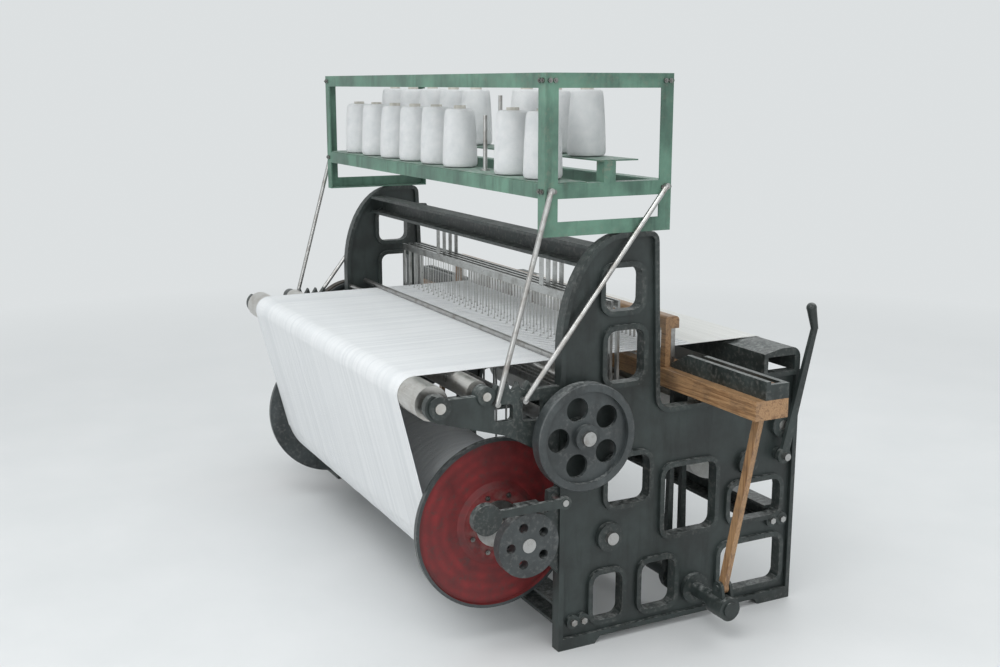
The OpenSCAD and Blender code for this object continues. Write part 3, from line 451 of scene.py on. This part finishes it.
# The brake's pad is leather, and its drum on the end of the beam is dark
beam_axis = centre("beam_flanges")
PAD_INSIDE_X = -0.981
PAD_T = 0.0075
PAD_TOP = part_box("beam_barrel")[1].z + PAD_T
DRUM_INSIDE_X = -0.93
JOURNAL_R = 0.0235
second_finish("letoff_lever", "leather", lambda p: p.x > PAD_INSIDE_X and p.z < PAD_TOP)
second_finish("beam_barrel", "machined",
              lambda p: p.x < DRUM_INSIDE_X and off_axis(beam_axis, p) > JOURNAL_R)

# The flanges are red outside only: their inner faces are bare dark iron, and their lips, the outer band of
# each face and the rim, take the same dark finish
FLANGE_PLATE = 0.0175
LIP_DEPTH = 0.008
FLANGE_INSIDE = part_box("beam_flanges")[1].x - FLANGE_PLATE
FLANGE_LIP = radius("beam_flanges") - LIP_DEPTH
second_finish("beam_flanges", "machined",
              lambda p: abs(p.x) < FLANGE_INSIDE or off_axis(beam_axis, p) > FLANGE_LIP)


# Mesh helpers
SMOOTH_ANGLE = math.radians(38)


def put(name, mesh_builder, material, body, replaced=(), smooth=True):
    """A new piece with its origin at the frame's origin and its place in its mesh."""
    mesh = bpy.data.meshes.new(name)
    made = bmesh.new()
    mesh_builder(made)
    bmesh.ops.recalc_face_normals(made, faces=made.faces)
    for face in made.faces:
        face.smooth = smooth
    made.to_mesh(mesh)
    made.free()
    mesh.materials.append(material)
    piece = bpy.data.objects.new(name, mesh)
    bpy.context.scene.collection.objects.link(piece)
    if smooth:
        mesh.set_sharp_from_angle(angle=SMOOTH_ANGLE)
    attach(piece, body)
    if replaced:
        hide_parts(*replaced)
    return piece


def spun(made, profile, turn, steps=96, uv_turns=0.0):
    """Spins a closed ring of (radius, height) points round Z, then places it with the matrix turn.

    With uv_turns, the map runs that many times round the axis, and from 0 to 1 up it.
    """
    verts = [made.verts.new((r, 0, z)) for r, z in profile]
    count = len(verts)
    edges = [made.edges.new((verts[i], verts[(i + 1) % count])) for i in range(count)]
    before = set(made.verts) - set(verts)
    bmesh.ops.spin(made, geom=verts + edges, cent=(0, 0, 0), axis=(0, 0, 1), angle=2 * math.pi,
                   steps=steps, use_merge=True, use_duplicate=False)
    new_verts = [v for v in made.verts if v not in before]
    if uv_turns:
        layer = made.loops.layers.uv.verify()
        top = max(z for _, z in profile)
        for face in {f for v in new_verts for f in v.link_faces}:
            middle = face.calc_center_median()
            base = math.atan2(middle.y, middle.x)
            for loop in face.loops:
                angle = math.atan2(loop.vert.co.y, loop.vert.co.x)
                angle = base + (angle - base + math.pi) % (2 * math.pi) - math.pi
                loop[layer].uv = (angle / (2 * math.pi) * uv_turns, loop.vert.co.z / top)
    bmesh.ops.transform(made, matrix=turn, verts=new_verts)


ALONG_X = Matrix.Rotation(math.radians(90), 4, "Y")


def islands(node):
    """The boxes of a CAD node's separate solids, from the lowest x up."""
    made = bmesh.new()
    made.from_mesh(NODES[node].data)
    bmesh.ops.remove_doubles(made, verts=made.verts, dist=0.00002)
    left = set(made.verts)
    boxes = []
    while left:
        group = [left.pop()]
        for vert in group:
            for edge in vert.link_edges:
                other = edge.other_vert(vert)
                if other in left:
                    left.remove(other)
                    group.append(other)
        low = Vector(min(v.co[k] for v in group) for k in range(3))
        high = Vector(max(v.co[k] for v in group) for k in range(3))
        boxes.append((low, high))
    made.free()
    return sorted(boxes, key=lambda box: tuple(box[0]))


def arc_points(middle, reach, start, end, steps):
    """Points on an arc between two angles in degrees."""
    return [(middle[0] + reach * math.cos(math.radians(start + (end - start) * i / steps)),
             middle[1] + reach * math.sin(math.radians(start + (end - start) * i / steps)))
            for i in range(steps + 1)]


# Warp: sixty bands that run apart through the reed and the healds and close up behind them
YARN_T = 0.0016
FELL_GAP = 0.0005
SLOT_PAST_HEALDS = 0.0355
FAN_LENGTH = 0.05
SLOT_END_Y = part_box("heald_frame_4")[1][1] + SLOT_PAST_HEALDS
FAN_END_Y = SLOT_END_Y + FAN_LENGTH
roller_place = centre("back_roller")
ROLLER_REACH = radius("back_roller") + SEAT_GAP + SHEET_T / 2
WOUND_REACH = radius("wound_warp") + SEAT_GAP + SHEET_T / 2
span = Vector((roller_place.y - beam_axis.y, roller_place.z - beam_axis.z))
leave = math.degrees(math.atan2(span.y, span.x) - math.acos((WOUND_REACH - ROLLER_REACH) / span.length))


def warp_path(out):
    """The warp's run behind the healds, in the YZ plane, moved out by a distance from its middle."""
    last = (beam_axis.y + (WOUND_REACH + out) * math.cos(math.radians(leave)),
            beam_axis.z + (WOUND_REACH + out) * math.sin(math.radians(leave)))
    return ([(FAN_END_Y, WARP_Z + out)]
            + arc_points((roller_place.y, roller_place.z), ROLLER_REACH + out, 90, leave, 20) + [last])


def prism(made, outline, left, right):
    """A solid with this outline in the YZ plane, between two x places."""
    face = made.faces.new([made.verts.new((left, y, z)) for y, z in outline])
    swept = bmesh.ops.extrude_face_region(made, geom=[face])
    moved = [item for item in swept["geom"] if isinstance(item, bmesh.types.BMVert)]
    bmesh.ops.translate(made, verts=moved, vec=(right - left, 0, 0))


def band_solid(made, left, right, inset):
    """One band of warp from the fell to the fan's end, narrower by the insets up to the last heald."""
    outline = [(left + inset[0], front_start), (right - inset[1], front_start),
               (right - inset[1], SLOT_END_Y), (right, FAN_END_Y),
               (left, FAN_END_Y), (left + inset[0], SLOT_END_Y)]
    under = WARP_Z - YARN_T / 2
    face = made.faces.new([made.verts.new((x, y, under)) for x, y in outline])
    swept = bmesh.ops.extrude_face_region(made, geom=[face])
    moved = [item for item in swept["geom"] if isinstance(item, bmesh.types.BMVert)]
    bmesh.ops.translate(made, verts=moved, vec=(0, 0, YARN_T))


front_start = FELL_Y + FELL_GAP


def warp_mesh(made):
    for band in range(BAND_COUNT):
        left, right = band * BAND_PITCH - WARP_HALF, (band + 1) * BAND_PITCH - WARP_HALF
        inset = (BAND_GAP / 2 * (band > 0), BAND_GAP / 2 * (band < BAND_COUNT - 1))
        band_solid(made, left, right, inset)
    prism(made, warp_path(YARN_T / 2) + warp_path(-YARN_T / 2)[::-1], -WARP_HALF, WARP_HALF)


warp = put("warp", warp_mesh, MATERIALS["warp"], FRAME_BODY, ["warp_sheet"])

# Cloth: over the breast beam and round the take-up roller to the nip of the cloth roll
take_up_place = centre("take_up_roller")
cloth_place = centre("rolled_cloth")
BREAST_R = 0.036
NOSE_REACH = BREAST_R + SEAT_GAP + SHEET_T / 2
NOSE = (CLOTH_FRONT + SHEET_T / 2 + NOSE_REACH, WARP_Z - NOSE_REACH)
TAKE_UP_REACH = radius("take_up_roller") + SEAT_GAP + SHEET_T / 2
END_BEFORE_NIP = 6
nip = math.degrees(math.atan2(cloth_place.z - take_up_place.z, cloth_place.y - take_up_place.y))


def cloth_path(out):
    """The cloth's run from the fell to the nip, in the YZ plane, moved out by a distance."""
    return ([(FELL_Y - FELL_GAP, WARP_Z + out)]
            + arc_points(NOSE, NOSE_REACH + out, 90, 180, 12)
            + arc_points((take_up_place.y, take_up_place.z), TAKE_UP_REACH + out,
                         180, 360 + nip - END_BEFORE_NIP, 28))


def cloth_mesh(made):
    prism(made, cloth_path(YARN_T / 2) + cloth_path(-YARN_T / 2)[::-1], -WARP_HALF, WARP_HALF)


cloth = put("cloth", cloth_mesh, MATERIALS["cloth"], FRAME_BODY, ["cloth_sheet"])


# Heald eyes, one on each wire at the height of the warp
WIRE_BEHIND_FRAME = 0.0045
EYE_WIRE_R = 0.0007
EYE_RING_R = 0.0026
EYE_STRETCH = 2.3


def eyes_of(numbers):
    """The eyes of the heald frames with these numbers; each frame holds every other wire."""
    def build(made):
        for number in numbers:
            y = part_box(f"heald_frame_{number}")[1].y - WIRE_BEHIND_FRAME
            for i in range(1, BAND_COUNT):
                if i % 2 == (number - 1) % 2:
                    eye(made, Vector((i * BAND_PITCH - WARP_HALF, y, WARP_Z)))
    return build


def eye(made, place):
    """A long loop of wire in the YZ plane."""
    before = set(made.verts)
    wire = bmesh.ops.create_circle(made, segments=5, radius=EYE_WIRE_R,
                                   matrix=Matrix.Translation((0, EYE_RING_R, 0)))["verts"]
    edges = list({e for v in wire for e in v.link_edges})
    bmesh.ops.spin(made, geom=wire + edges, cent=(0, 0, 0), axis=(1, 0, 0), angle=2 * math.pi, steps=10,
                   use_merge=True, use_duplicate=False)
    turn = Matrix.Translation(place) @ Matrix.Diagonal((1, 1, EYE_STRETCH, 1))
    bmesh.ops.transform(made, verts=[v for v in made.verts if v not in before], matrix=turn)


put("heald_eyes_odd", eyes_of((1, 3)), MATERIALS["steel"], "healds_odd", ())
put("heald_eyes_even", eyes_of((2, 4)), MATERIALS["steel"], "healds_even", ())


# Yarn on the warp beam, ridged where the sections lie side by side, and the rolled cloth
END_INSET = 0.0006
BARREL_R = 0.075
SECTION_COUNT = 44
SECTION_RIDGE = 0.0009
ROLL_CORE_R = 0.034
ROLL_LAYERS = 9


def axis_of(node):
    """Turns a spun shape to lie along X on the axis of a CAD node."""
    place = centre(node)
    return Matrix.Translation((0, place.y, place.z)) @ ALONG_X


def wound_mesh(made):
    full = radius("wound_warp")
    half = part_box("wound_warp")[1][0] - END_INSET
    pitch = 2 * half / SECTION_COUNT
    draw = random.Random(4)
    profile = [(BARREL_R, -half), (full - 0.004, -half)]
    for i in range(SECTION_COUNT):
        left = -half + i * pitch
        top = full - 0.0002 - draw.random() * 0.0012
        profile += [(top - SECTION_RIDGE, left + 0.04 * pitch), (top, left + 0.25 * pitch),
                    (top, left + 0.75 * pitch), (top - SECTION_RIDGE, left + 0.96 * pitch)]
    profile += [(full - 0.004, half), (BARREL_R, half)]
    spun(made, profile, axis_of("wound_warp"), 128)


def rolled_mesh(made):
    full = radius("rolled_cloth")
    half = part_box("rolled_cloth")[1][0] - END_INSET
    step = (full - 0.039) / ROLL_LAYERS
    profile = [(ROLL_CORE_R, -half)]
    for i in range(ROLL_LAYERS):
        r = ROLL_CORE_R + 0.004 + step * i
        profile += [(r, -half + 0.0012), (r + 0.4 * step, -half - 0.0001 + 0.0002 * (i % 3)),
                    (r + 0.8 * step, -half + 0.0012)]
    profile += [(full - 0.0015, -half), (full - 0.0001, -half + 0.003)]
    mirrored = [(r, -z) for r, z in reversed(profile)]
    spun(made, profile + mirrored, axis_of("rolled_cloth"), 112)


put("warp_on_beam", wound_mesh, MATERIALS["wound"], "warp_beam", ["wound_warp"])
put("cloth_on_roll", rolled_mesh, MATERIALS["cloth"], "cloth_roll", ["rolled_cloth"])


# Cones of yarn, each wound a little differently, on tubes of card
TUBE_R = 0.0200
TUBE_BORE_R = 0.0172
CONE_BORE_R = 0.0202
CONE_STEPS = 12
UV_TURNS = 6.0


def standing_in(low, high):
    """Places a spun shape upright on the floor of a box."""
    middle = (low + high) / 2
    return Matrix.Translation((middle.x, middle.y, low.z))


def cones_mesh(made):
    draw = random.Random(11)
    for low, high in islands("yarn_cones"):
        base = (high.x - low.x) / 2 * (0.955 + 0.045 * draw.random())
        top = base * (0.83 + 0.05 * draw.random())
        rise = (high.z - low.z) * (0.94 + 0.025 * draw.random())
        profile = [(CONE_BORE_R, 0.004), (base - 0.012, 0.001), (base - 0.004, 0.004), (base, 0.012)]
        for i in range(1, CONE_STEPS):
            t = i / CONE_STEPS
            swell = 0.0016 * math.sin(math.pi * t) + 0.0006 * (draw.random() - 0.5)
            profile.append((base + (top - base) * t + swell, 0.012 + (rise - 0.022) * t))
        profile += [(top - 0.002, rise - 0.006), (top - 0.007, rise - 0.001), (top - 0.016, rise + 0.001),
                    (0.03, rise - 0.003), (CONE_BORE_R, rise - 0.007)]
        spun(made, profile, standing_in(low, high), 56, UV_TURNS)


def tubes_mesh(made):
    for low, high in islands("yarn_cones"):
        height = high.z - low.z
        profile = [(TUBE_BORE_R, 0.0003), (TUBE_R, 0.0003), (TUBE_R, height - 0.002),
                   (TUBE_R - 0.0005, height - 0.0003), (TUBE_BORE_R + 0.0008, height - 0.0003),
                   (TUBE_BORE_R, height - 0.002)]
        spun(made, profile, standing_in(low, high), 40)


put("cones", cones_mesh, MATERIALS["cone"], FRAME_BODY, ["yarn_cones"])
put("cone_tubes", tubes_mesh, MATERIALS["card"], FRAME_BODY)


# Weft on the pirn in the shuttle
PIRN_BORE_R = 0.0045
PIRN_STEPS = 26


def pirn_mesh(made):
    low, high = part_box("pirn")
    half = (high.x - low.x) / 2
    r = radius("pirn")
    draw = random.Random(3)
    profile = [(PIRN_BORE_R, -half + 0.0005), (r * 0.52, -half + 0.0005), (r * 0.55, -half + 0.006)]
    for i in range(PIRN_STEPS):
        t = (i + 1) / (PIRN_STEPS + 1)
        fill = min(1.0, 0.55 + 1.9 * t, 0.35 + 4.5 * (1 - t))
        profile.append((r * fill * (0.965 + 0.03 * draw.random()), -half + 0.006 + (2 * half - 0.022) * t))
    profile += [(r * 0.4, half - 0.012), (r * 0.36, half - 0.001), (PIRN_BORE_R, half - 0.0005)]
    spun(made, profile, Matrix.Translation((low + high) / 2) @ ALONG_X, 32)


put("weft_on_pirn", pirn_mesh, MATERIALS["pirn"], "shuttle", ["pirn"])


# Small fittings: hexagon bolts, and the leather pickers on the sticks
def hexagon(made, place, facing, across, thick):
    """A bolt head with the end of its stud, seated on a face that looks along facing."""
    facing = Vector(facing)
    turn = Vector((0, 0, 1)).rotation_difference(facing).to_matrix().to_4x4()
    corner = across / math.sqrt(3)
    head = bmesh.ops.create_cone(made, cap_ends=True, segments=6, radius1=corner, radius2=corner,
                                 depth=thick)
    bmesh.ops.transform(made, verts=head["verts"], matrix=Matrix.Translation(place) @ turn)
    stud = bmesh.ops.create_cone(made, cap_ends=True, segments=16, radius1=across * 0.26,
                                 radius2=across * 0.24, depth=thick * 1.5)
    bmesh.ops.transform(made, verts=stud["verts"],
                        matrix=Matrix.Translation(Vector(place) + 0.3 * thick * facing) @ turn)


CREEL_BOLT = 0.013
CREEL_HEAD = 0.006
CREEL_BOLT_INSETS = (0.013, 0.030)
CREEL_BOLT_DROP = 0.021


def creel_bolts(made):
    """Two bolts on each face of each corner post, at the top rail and at the shelf's rail."""
    low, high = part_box("creel_frame")
    stand = CREEL_HEAD / 2 - 0.0004
    heights = (high.z - CREEL_BOLT_DROP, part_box("creel_shelves")[0].z - CREEL_BOLT_DROP)
    for across, along in ((0, 1), (1, 0)):
        spots = [low[along] + d for d in CREEL_BOLT_INSETS] + [high[along] - d for d in CREEL_BOLT_INSETS]
        for face, out in ((low[across], -1), (high[across], 1)):
            for spot in spots:
                for z in heights:
                    place, facing = Vector((0, 0, z)), Vector((0, 0, 0))
                    place[across], place[along] = face + out * stand, spot
                    facing[across] = out
                    hexagon(made, place, facing, CREEL_BOLT, CREEL_HEAD)


put("creel_bolts", creel_bolts, MATERIALS["dark_bolt"], FRAME_BODY, (), False)


FLANGE_BOLT = 0.014
FLANGE_HEAD = 0.007
FLANGE_BOLTS = 8


def flange_bolts(made):
    """A ring of bolts on the hub of each flange."""
    hub_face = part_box("beam_flanges")[1].x - 0.002
    ring = radius("wound_warp") * 0.463
    for side in (-1, 1):
        for k in range(FLANGE_BOLTS):
            angle = 2 * math.pi * (k + 0.5) / FLANGE_BOLTS
            spot = (side * (hub_face + FLANGE_HEAD / 2 - 0.0006), beam_axis.y + ring * math.cos(angle),
                    beam_axis.z + ring * math.sin(angle))
            hexagon(made, spot, (side, 0, 0), FLANGE_BOLT, FLANGE_HEAD)


put("flange_bolts", flange_bolts, MATERIALS["dark_bolt"], "warp_beam", (), False)


def block(made, low, high, edge):
    """A box with rounded edges."""
    made_box = bmesh.ops.create_cube(made, size=1)
    middle = (Vector(low) + Vector(high)) / 2
    sizes = Vector(high) - Vector(low)
    bmesh.ops.transform(made, verts=made_box["verts"],
                        matrix=Matrix.Translation(middle) @ Matrix.Diagonal((*sizes, 1)))
    edges = {e for v in made_box["verts"] for e in v.link_edges}
    bmesh.ops.bevel(made, geom=list(edges), offset=edge, segments=3, profile=0.5, affect="EDGES",
                    material=-1)


# Leather round the picker of each stick; the picker is found by its lowest face, above the race
PICKER_TOP = 0.042
LEATHER_T = 0.0004


def picker_mesh(node, lift):
    def build(made):
        race_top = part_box("race_board")[1].z
        near = [v.co for v in NODES[node].data.vertices if abs(v.co.z - race_top - lift) < 0.0005]
        low = Vector(min(c[k] for c in near) for k in range(3))
        high = Vector((max(c.x for c in near), max(c.y for c in near), race_top + PICKER_TOP))
        skin = Vector((LEATHER_T,) * 3)
        block(made, low - skin, high + skin, 0.0003)
    return build


for side, lift in (("left", 0.004), ("right", 0.017)):
    put(f"picker_{side}", picker_mesh(f"picking_stick_{side}", lift), MATERIALS["leather"],
        f"stick_{side}")


# Floor, which runs out into the backdrop
FLOOR_HALF = 200
floor_data = bpy.data.meshes.new("floor")
floor_builder = bmesh.new()
bmesh.ops.create_grid(floor_builder, x_segments=1, y_segments=1, size=FLOOR_HALF)
floor_builder.to_mesh(floor_data)
floor_builder.free()
floor_data.materials.append(floor_finish())
floor = bpy.data.objects.new("floor", floor_data)
bpy.context.scene.collection.objects.link(floor)


# Light: rows of soft lamps above, and a pale surrounding
def lamp(name, place, aim, size, power):
    data = bpy.data.lights.new(name, "AREA")
    data.shape = "RECTANGLE"
    data.size, data.size_y = size
    data.energy = power
    light = bpy.data.objects.new(name, data)
    light.location = place
    light.rotation_euler = (Vector(aim) - Vector(place)).to_track_quat("-Z", "Y").to_euler()
    bpy.context.scene.collection.objects.link(light)


lamp("lamp_over_back", (-1.2, 2.4, 4.2), (0, 0.2, 0.7), (4.5, 1.6), 92)
lamp("lamp_over_front", (0.8, -3.2, 4.0), (0, 0, 0.8), (4.5, 1.6), 52)
lamp("lamp_left", (-4.6, 0.2, 2.6), (0, 0.2, 0.7), (2.4, 2.4), 30)
lamp("lamp_low", (-3.3, 4.6, 1.7), (0, 0.4, 0.5), (3.0, 2.0), 42)
world = bpy.data.worlds.new("world")
bpy.context.scene.world = world
world.use_nodes = True
background = world.node_tree.nodes["Background"]
background.inputs["Color"].default_value = (*BACKDROP, 1)
background.inputs["Strength"].default_value = 0.9
bpy.context.scene.view_settings.view_transform = "Standard"
